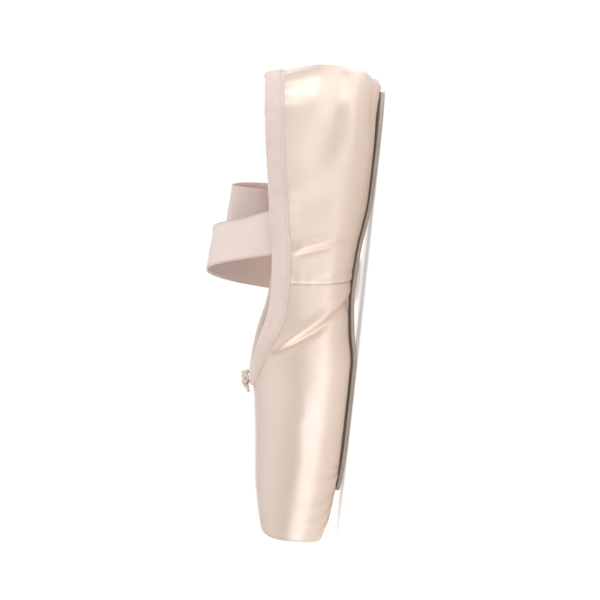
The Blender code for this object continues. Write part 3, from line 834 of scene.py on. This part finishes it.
def thread_look():
    look = Look("thread", (0.87, 0.74, 0.66), 0.55, Sheen_Weight=0.2)
    twist = look.wave(look.place(), 420.0, 0.5, "DIAGONAL")
    color = look.mix(look.ramp(twist, 0.0, 1.0, 0.35, 0.0), (0.88, 0.76, 0.68), (0.66, 0.50, 0.41))
    return look.finish(color, (twist, 0.6, 0.00015))


def suede_look():
    look = Look("suede", (0.56, 0.50, 0.44), 0.96, Sheen_Weight=0.25, Sheen_Roughness=0.7,
                Specular_IOR_Level=0.2)
    nap = look.noise(look.place(), 900, 4.0, 0.65)
    speck = look.noise(look.place(), 1900)
    cloud = look.noise(look.place(), 55, 3.0)
    color = look.mix(look.ramp(cloud, 0.3, 0.7), (0.62, 0.56, 0.50), (0.54, 0.48, 0.42))
    color = look.tint(color, nap, 0.42, 0.62, 0.55, (0.70, 0.64, 0.57))
    color = look.tint(color, speck, 0.60, 0.68, 0.7, (0.22, 0.165, 0.12))
    color = look.tint(color, look.mark("wear"), 0.0, 1.0, 0.35, (0.66, 0.60, 0.53))
    # Painted shade: dark line along the top edge, where the satin meets the sole.
    color = look.tint(color, look.mark("edge"), 0.15, 0.85, 0.9, (0.13, 0.080, 0.052))
    return look.finish(color, (cloud, 0.25, 0.0008), (nap, 0.6, 0.00035), (speck, 0.3, 0.0002))


def sock_look():
    look = Look("sock", (0.74, 0.63, 0.52), 0.9, Sheen_Weight=0.15, Specular_IOR_Level=0.2)
    cross = look.woven(look.place(), 300.0, 0.6)
    color = look.tones(60, 3.0, (0.88, 0.79, 0.68), (0.82, 0.71, 0.59))
    color = look.mix(look.ramp(cross, 0.0, 0.8, 0.3, 0.0), color, (0.64, 0.52, 0.41))
    return look.finish(color, (look.noise(look.place(), 45), 0.4, 0.0008), (cross, 0.5, 0.0002))


def ribbon_look(name):
    look = Look(name, (0.84, 0.69, 0.64), 0.40, Anisotropic=0.45, Specular_IOR_Level=0.6,
                Sheen_Weight=0.2, Sheen_Roughness=0.4)
    swell = look.noise(look.place(), 90)
    streak = look.noise(look.stretched((40, 1800, 1)), 1.0, 3.0, 0.6)
    cross = look.noise(look.stretched((4200, 300, 1)), 1.0, 1.0)
    color = look.tones(40, 2.0, (0.85, 0.70, 0.655), (0.82, 0.665, 0.61), 0.35, 0.65)
    color = look.tint(color, streak, 0.3, 0.7, 0.3, (0.90, 0.77, 0.73))
    color = look.tint(color, look.mark("selvedge"), 0.3, 0.9, 0.30, (0.72, 0.53, 0.46))
    return look.finish(color, (swell, 0.25, 0.0006), (streak, 0.12, 0.0001), (cross, 0.12, 0.00006))


# Pieces


def upper_pieces(paths_out, paths_in):
    """The satin, and the cloth lining inside it, both down to the edge under the outsole."""
    grid = rows_on(paths_out, ROWS, 0.010, 14)
    dressed, marks = dress(grid, run_down(grid[:, ::-1])[:, ::-1])
    uv = cloth_uv(grid, along(grid[:, ROWS // 2]))
    satin = make("upper_satin", dressed, wrap(len(grid), ROWS, True, False), satin_look(), marks, uv)
    grid = rows_on(paths_in, LINING_ROWS, 0.008, 14)[::2]
    x, y, z = grid[..., 0], grid[..., 1], grid[..., 2]
    clear = smoothstep((z - bottom_at(x) - 0.006) / 0.006)
    soft = 0.00012 * np.sin(x * 240 + y * 110) * np.sin(z * 260 + 0.6) * clear
    uv = cloth_uv(grid, along(grid[:, LINING_ROWS // 2]))
    lining = make("upper_lining", grid + normal(grid, inner) * soft[..., None],
                  wrap(len(grid), LINING_ROWS, True, False), lining_look(), None, uv)
    lining.data.flip_normals()
    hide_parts("upper")
    for piece in (satin, lining):
        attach(piece, "root")


def casing_face(q, thick, swell, gather):
    """How far the casing stands off the wall. q: 0 at the collar, 1 at the casing's lower edge."""
    ease = np.sin(np.clip((1 - q) / 0.09, 0, 1) * math.pi / 2)
    return thick * ease + swell[None] + gather * bell(q - 0.55, 0.35)


def binding_piece(paths_out, paths_in):
    """The casing folded over the collar, swollen where the drawstring runs inside it. Returns its
    rows on the wall, outside and inside, with their outward ways."""
    q = np.array([1.0, 0.96, 0.88, 0.78, 0.66, 0.54, 0.42, 0.30, 0.18, 0.07, 0.0])
    o = from_collar(paths_out, BINDING_WIDTH * q)
    i = from_collar(paths_in, BINDING_WIDTH * q[::-1])
    o_way = normal(o, outer)
    i_way = -normal(i, inner)
    run = along(o[:, -1])
    gather = gathers(run[:, None], GATHER_PITCH, 0.9, 90, 43, 0.5)
    swell = 0.00035 * bell(q - 0.24, 0.17) + 0.00018 * bell(q - 0.92, 0.05) - 0.00022 * bell(q - 0.80, 0.05)
    out = casing_face(q, BINDING_THICK, swell, 0.00007 * gather)
    inn = casing_face(q[::-1], LINED_THICK, 0.0002 * bell(q[::-1] - 0.24, 0.17), 0.00005 * gather)
    a = o + o_way * (CASING_OUT + out)[..., None]
    b = i + i_way * (CASING_IN + inn)[..., None]
    up = o[:, -1] - o[:, -3]
    up /= np.linalg.norm(up, axis=1)[:, None]
    raised = 0.0004 * up
    mid = (a[:, -1] + b[:, 0]) / 2
    arm = (a[:, -1] - b[:, 0]) / 2
    rise = 0.00125 + 0.00006 * gather
    turns = math.pi * np.arange(1, 8) / 8
    arc = np.stack([mid + arm * math.cos(t) + up * rise * math.sin(t) + raised for t in turns], axis=1)
    a[:, -1] += raised
    b[:, 0] += raised
    inside_b = i[:, -1:] + i_way[:, -1:] * (0.5 * GAP)
    inside_a = o[:, :1] + o_way[:, :1] * (0.5 * GAP + SEAM_STEP)
    grid = np.concatenate([inside_a, a, arc, b, inside_b], axis=1)
    faces = wrap(len(grid), grid.shape[1], True, True)
    piece = make("binding_casing", grid, faces, casing_look(), None, cloth_uv(grid, run))
    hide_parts("binding")
    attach(piece, "root")
    return o, o_way, i, i_way


def capsule(a, b, up):
    """A stitch: a short rounded bar from a to b, flattened against what it is sewn to."""
    side = np.cross((b - a) / np.linalg.norm(b - a), up)
    turns = np.linspace(0, 2 * math.pi, 6, endpoint=False)[:, None]
    ring = np.cos(turns) * side + 0.8 * np.sin(turns) * up
    loops = []
    for t, share in ((0.0, 0.35), (0.16, 0.85), (0.5, 1.0), (0.84, 0.85), (1.0, 0.35)):
        sunk = 0.4 * STITCH_RADIUS if t in (0.0, 1.0) else 0.0
        loops.append(a + (b - a) * t - up * sunk + STITCH_RADIUS * share * ring)
    return np.array(loops)


def stitches(name, line, ways, look):
    """Stitches along a closed line of points, standing on the surface whose outward ways are given."""
    line = np.vstack([line, line[:1]])
    ways = np.vstack([ways, ways[:1]])
    s = along(line)
    count = int(s[-1] / STITCH_PITCH)
    middle = np.arange(count) + 0.5
    start = (middle - STITCH_SHARE / 2) * s[-1] / count
    end = (middle + STITCH_SHARE / 2) * s[-1] / count
    points, faces = [], []
    for a, b, up in zip(pick(line, start), pick(line, end), between(start, s, ways)):
        bar = capsule(a, b, up / np.linalg.norm(up))
        faces += [tuple(len(points) + corner for corner in face) for face in capped(bar)]
        points.extend(bar.reshape(-1, 3))
    piece = make(name, points, faces, look)
    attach(piece, "root")


def plate(name, xs, half, low, high, corner, look, marks_at):
    """A sheet of leather or card that follows the shoe's bottom, its edges rounded. The tags run
    from 0 on its underside to 1 on top."""
    across = np.concatenate([np.linspace(0, 0.86, 12, endpoint=False), np.linspace(0.86, 1, 6)])
    loops, tags = [], []
    for x in xs:
        h, a, b = float(half(x)), float(low(x)), float(high(x))
        e = min(corner, 0.45 * h)
        ring = [(q * (h - e), a, 0.0) for q in across]
        for t in np.linspace(0, math.pi / 2, 6)[1:]:
            ring.append((h - e + e * math.sin(t), a + 0.45 * (b - a) * (1 - math.cos(t)), 0.25 * t))
        for t in np.linspace(0, 1, 6)[1:]:
            ring.append((h - 0.25 * e * t ** 2, a + (b - a) * (0.45 + 0.55 * t), 0.4 + 0.6 * t))
        ring += [(q * (h - 0.25 * e), b, 1.0) for q in np.linspace(0.97, 0, 12)]
        ring += [(-y, z, tag) for y, z, tag in reversed(ring[1:-1])]
        loops.append([(x, y, z) for y, z, _ in ring])
        tags.append([tag for _, _, tag in ring])
    grid = np.array(loops)
    marks = marks_at(grid.reshape(-1, 3), np.ravel(tags))
    return make(name, grid, capped(grid), look, marks)


def stations(start, end, count):
    s = np.linspace(0, 1, count)
    return start + (end - start) * (0.35 * s + 0.65 * (1 - np.cos(math.pi * s)) / 2)


def outsole_piece():
    def low(x):
        return bottom_at(x) - GAP - OUTSOLE

    def high(x):
        return bottom_at(x) - 0.6 * GAP

    def marks(points, tag):
        x, _, z = points.T
        # Painted shade of the gap between satin and sole: a dark line along the top edge, darkest next to
        # the satin.
        edge = smoothstep((tag - 0.42) / 0.3) * (0.6 + 0.4 * smoothstep((z - bottom_at(x) + 0.0022) / 0.001))
        worn = bell(x / LENGTH - 0.66, 0.11) + bell(x / LENGTH - 0.13, 0.07)
        return {"edge": edge, "wear": worn * (z < 0.0008)}

    short = 0.00012
    xs = stations(SOLE_HEEL * LENGTH + short, SOLE_TOE * LENGTH - short, 240)
    outsole = plate("outsole_suede", xs, sole_half, low, high, 0.0011, suede_look(), marks)
    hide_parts("outsole")
    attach(outsole, "root")


def insole_piece():
    end = 0.965 * LENGTH - BOX_WALL

    def low(x):
        return bottom_at(x) + wall_at(x) + 2 * GAP

    def high(x):
        return low(x) + INSOLE

    def half(x):
        s = min(max(1 - (end - x) / (0.09 * LENGTH), 0), 1)
        return (half_at(x, low(x)) - 0.0012) * math.sqrt(1 - 0.98 * s ** 3)

    xs = stations(SOLE_HEEL * LENGTH + WALL, end, 120)
    insole = plate("insole_sock", xs, half, low, high, 0.0006, sock_look(), lambda points, tag: {})
    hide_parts("insole")
    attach(insole, "root")


def smooth_path(points, count):
    """Catmull-Rom through the points, then evenly spaced."""
    p = np.array(points, float)
    p = np.vstack([2 * p[0] - p[1], p, 2 * p[-1] - p[-2]])
    out = []
    for a, b, c, d in zip(p[:-3], p[1:-2], p[2:-1], p[3:]):
        for t in np.linspace(0, 1, 16, endpoint=False):
            out.append(0.5 * (2 * b + (c - a) * t + (2 * a - 5 * b + 4 * c - d) * t * t
                              + (3 * b - a - 3 * c + d) * t ** 3))
    out = np.array(out + [p[-2]])
    return pick(out, np.linspace(0, along(out)[-1], count))


def ribbon_path(hang, lie, side, count):
    """Centre line and its direction: out of the shoe, down, and along the floor."""
    x0 = RIBBON_AT * LENGTH
    height = collar_at(x0)
    points = []
    for row in hang:
        x = x0 + row.forward
        if row.side == 1:
            y = half_at(x, row.up * height) - 2 * GAP - RIBBON_OFF
        else:
            edge = x + (RIBBON_WIDTH if row.side < 0 < row.forward else -RIBBON_WIDTH) / 2
            y = row.side * half_at(edge, 0.93 * collar_at(edge))
        points.append((x, side * y, row.up * height))
    heading = math.atan2(points[-1][1] - points[-2][1], points[-1][0] - points[-2][0])
    x, y, _ = points[-1]
    x += LANDING_RUN * math.cos(heading)
    y += LANDING_RUN * math.sin(heading)
    points.append((x, y, LANDING_UP))
    parts = 4
    for row in lie:
        base = points[-1][2]
        for k in range(parts):
            heading += math.radians(row.turn) / parts
            x += row.run / parts * math.cos(heading)
            y += row.run / parts * math.sin(heading)
            z = base + (row.up - base) * smoothstep((k + 1) / parts)
            points.append((x, y, z))
        if row.back:
            points.append((x + FOLD_ROUND * math.cos(heading), y + FOLD_ROUND * math.sin(heading),
                           z + FOLD_ROUND))
            heading += math.pi + math.radians(row.back)
            points.append((x, y, z + 2 * FOLD_ROUND))
    path = smooth_path(points, 1600)
    path = pick(path, np.linspace(0, min(along(path)[-1], RIBBON_LENGTH), count))
    way = np.gradient(path, axis=0)
    return path, way / np.linalg.norm(way, axis=1)[:, None]


def ribbon_piece(node, hang, lie, side, phase):
    """A ribbon: its width direction is carried along its way and levels out, and slow waves and a
    slight cup lift the free part."""
    count, across = 460, 14
    path, way = ribbon_path(hang, lie, side, count)
    x, z = path[0][0], path[0][2]
    flare = half_at(x + RIBBON_WIDTH / 2, z) - half_at(x - RIBBON_WIDTH / 2, z)
    carried = np.array([1.0, side * flare / RIBBON_WIDTH, 0.0])
    wide = np.zeros_like(path)
    for k in range(count):
        w = carried - way[k] * (carried @ way[k])
        w[2] *= 0.2 ** (80 / count)
        w -= way[k] * (w @ way[k])
        carried = w / np.linalg.norm(w)
        wide[k] = carried
    flat = np.cross(way, wide)[:, None]
    s = along(path)
    q = np.linspace(-1, 1, across)
    middles = path[:, None] + wide[:, None] * (q[None, :, None] * RIBBON_WIDTH / 2)
    wave = 0.00045 * np.sin(s[:, None] * 95 + 1.4 * q + phase)
    wave += 0.00025 * np.sin(s[:, None] * 210 - 2.0 * q + 2 * phase)
    cup = 0.00035 * (q[None] ** 2 - 0.4)
    room = np.maximum(middles[..., 2] - RIBBON_THICK / 2 - 0.0001, 0.0)
    height = np.clip(smoothstep((s - 0.030) / 0.02)[:, None] * (wave + cup), -room, None)
    middles += flat * height[..., None]
    thick = RIBBON_THICK * (1 + 0.35 * smoothstep((np.abs(q) - 0.90) / 0.06))
    half = flat * (thick / 2)[None, :, None]
    grid = np.concatenate([middles + half, (middles - half)[:, ::-1]], axis=1)
    q = np.concatenate([q, q[::-1]])
    selvedge = np.tile(smoothstep((np.abs(q) - 0.80) / 0.12), (count, 1))
    uv = np.stack([np.repeat(s[:, None], len(q), axis=1), np.tile((q + 1) * RIBBON_WIDTH / 2, (count, 1))],
                  axis=-1)
    look = ribbon_look(node + "_satin")
    piece = make(node + "_cloth", grid, capped(grid), look, {"selvedge": selvedge}, uv)
    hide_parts(node)
    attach(piece, "root")


def knot_piece(place, look):
    """An overhand knot in the drawstring, lying on the casing at the throat, with both ends."""
    size = 0.78 * CORD
    t = np.linspace(0.16, 2 * math.pi - 0.16, 34) + math.pi / 3
    x = np.sin(t) + 2 * np.sin(2 * t)
    y = np.cos(t) - 2 * np.cos(2 * t)
    z = -np.sin(3 * t)
    path = np.stack([x, y, z], axis=1)
    turn = -math.atan2(path[0, 1] + path[-1, 1], path[0, 0] + path[-1, 0])
    c, s = math.cos(turn), math.sin(turn)
    path = path @ np.array([[c, s, 0], [-s, c, 0], [0, 0, 1]])
    first = path[0] + np.array([[2.2, -4.4, -0.6], [1.1, -2.2, -0.3]])
    final = path[-1] + np.array([[1.1, 2.2, -0.3], [2.2, 4.4, -0.6]])
    path = smooth_path(np.vstack([first, path, final]) * size, 260)
    slope = math.atan2(top_at(THROAT + 0.01) - top_at(THROAT), 0.01)
    c, s = math.cos(slope), math.sin(slope)
    path = np.stack([c * path[:, 0] - s * path[:, 2], path[:, 1], s * path[:, 0] + c * path[:, 2]], axis=1)
    path += np.array(place)
    way = np.gradient(path, axis=0)
    way /= np.linalg.norm(way, axis=1)[:, None]
    side = np.cross(way[0], [0, 0, 1.0])
    side /= np.linalg.norm(side)
    run = along(path)
    loops = []
    for p, w, d in zip(path, way, run):
        side = side - w * (side @ w)
        side /= np.linalg.norm(side)
        other = np.cross(w, side)
        loops.append([p + CORD / 2 * (0.93 + 0.10 * abs(math.sin(1.5 * a - d * 1900)))
                      * (math.cos(a) * side + math.sin(a) * other)
                      for a in np.linspace(0, 2 * math.pi, 14, endpoint=False)])
    grid = np.array(loops)
    piece = make("drawstring_cord", grid, capped(grid), look)
    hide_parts("drawstring_knot")
    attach(piece, "root")


paths_out, paths_in = shell_paths()
upper_pieces(paths_out, paths_in)
rim_out, rim_out_way, rim_in, rim_in_way = binding_piece(paths_out, paths_in)
outsole_piece()
insole_piece()
thread = thread_look()
line = rim_out[:, 3] + rim_out_way[:, 3] * (CASING_OUT + BINDING_THICK + STITCH_PROUD)
stitches("binding_stitches", line, rim_out_way[:, 3], thread)
line = rim_in[:, -4] + rim_in_way[:, -4] * (CASING_IN + LINED_THICK + STITCH_PROUD)
stitches("lining_stitches", line, rim_in_way[:, -4], thread)
middle = len(rim_out) // 2
knot_x = rim_out[middle, -1, 0] + 0.55 * BINDING_WIDTH
knot_piece((knot_x, 0.0, top_at(knot_x) + 2 * GAP + 1.5 * BINDING_THICK + 1.12 * CORD), thread)
ribbon_piece("ribbon_medial", ACROSS, FLOOR_ACROSS, 1, 0.4)
ribbon_piece("ribbon_lateral", OVER, FLOOR_OVER, -1, 2.3)

# Floor, light and camera


def stage_floor():
    """A plain floor, brighter ahead of the waist and behind the heel to mirror rays only."""
    reach = 12
    mesh = bpy.data.meshes.new("floor")
    corners = [(-reach, -reach, 0), (reach, -reach, 0), (reach, reach, 0), (-reach, reach, 0)]
    mesh.from_pydata(corners, [], [(0, 1, 2, 3)])
    look = Look("floor", (0.82, 0.82, 0.82), 0.9, Specular_IOR_Level=0.1, Emission_Color=(1, 1, 1, 1))
    seen = look.node("ShaderNodeLightPath").outputs
    split = look.node("ShaderNodeSeparateXYZ", [("Vector", look.place())]).outputs
    ahead = look.ramp(split["X"], -0.05, 0.03, 0.35, 1.30)
    beside = look.ramp(look.maths("ABSOLUTE", split["Y"], 0.0), 0.046, 0.072, 0.25, 1.0)
    behind = look.ramp(split["X"], -0.155, -0.128, 0.5, 0.0)
    panels = look.maths("ADD", look.maths("MULTIPLY", ahead, beside), behind)
    mirrored = look.maths("MULTIPLY", panels, seen["Is Glossy Ray"])
    direct = look.ramp(seen["Is Camera Ray"], 0.0, 1.0, 0.10, 0.42)
    look.link(look.maths("ADD", mirrored, direct), "Emission Strength")
    mesh.materials.append(look.mat)
    floor = added("floor", mesh)
    floor.location.z = -0.0002


def aim(obj, place, target, up):
    """Puts obj at place, looking at target, with up as near as it can be to the picture's top."""
    back = (place - target).normalized()
    right = up.cross(back).normalized()
    top = back.cross(right)
    turn = Matrix((right, top, back)).transposed()
    obj.matrix_world = Matrix.Translation(place) @ turn.to_4x4()


def area_light(name, place, size, power):
    """A soft panel of nearly white light that faces the shoe."""
    data = bpy.data.lights.new(name, "AREA")
    data.shape = "RECTANGLE"
    data.size, data.size_y = size
    data.energy = power
    data.color = (1.0, 0.995, 0.985)
    aim(added(name, data), Vector(place), Vector((0, 0, 0.03)), Vector((0, 0, 1)))


def world():
    """White behind the shoe, even light on it, and a softer room for the satin to mirror."""
    studio = bpy.data.worlds.new("studio")
    bpy.context.scene.world = studio
    studio.use_nodes = True
    room = Nodes(studio.node_tree)
    split = room.node("ShaderNodeSeparateXYZ", [("Vector", room.place("Generated"))])
    walls = room.node("ShaderNodeValToRGB", [("Fac", split.outputs["Z"])])
    stops = walls.color_ramp.elements
    for stop, at, level in ((stops[0], 0.10, 0.62), (stops[1], 1.00, 1.00)):
        stop.position = at
        stop.color = (level, level, level, 1)
    for at, level in ((0.34, 0.44), (0.78, 0.74)):
        stops.new(at).color = (level, level, level, 1)
    seen = room.node("ShaderNodeLightPath").outputs
    lit = room.mix(seen["Is Glossy Ray"], (0.86, 0.86, 0.86), walls.outputs["Color"])
    backdrop = room.mix(seen["Is Camera Ray"], lit, (1.02, 1.02, 1.02))
    background = studio.node_tree.nodes["Background"]
    studio.node_tree.links.new(backdrop, background.inputs["Color"])
    background.inputs["Strength"].default_value = 1.0


def camera():
    """Looks at the inner side from a long way off, rolled so that the toe points down."""
    data = bpy.data.cameras.new("camera")
    data.sensor_width = 36
    data.lens = 190
    data.clip_end = 60
    obj = added("camera", data)
    bpy.context.scene.camera = obj
    distance = 1.55
    behind, above, roll = math.radians(8), math.radians(1.2), math.radians(6)
    target = Vector((0.0, 0.0, 0.030))
    way = Vector((-math.sin(behind) * math.cos(above), math.cos(behind) * math.cos(above), math.sin(above)))
    up = Vector((-math.cos(roll), 0, math.sin(roll)))
    aim(obj, target + way * distance, target, up)


stage_floor()
world()
camera()
for name, place, size, power in (
    ("heel_light", (-1.25, 0.22, 0.30), (1.20, 0.36), 3.4),
    ("waist_light", (-0.30, 1.25, 0.16), (0.20, 0.26), 0.18),
    ("toe_light", (0.62, 1.14, 0.08), (0.46, 0.14), 0.75),
    ("far_light", (0.00, -1.30, 0.34), (1.60, 0.34), 2.6),
):
    area_light(name, place, size, power)
view = bpy.context.scene.view_settings
view.view_transform = "Standard"
view.look = "None"
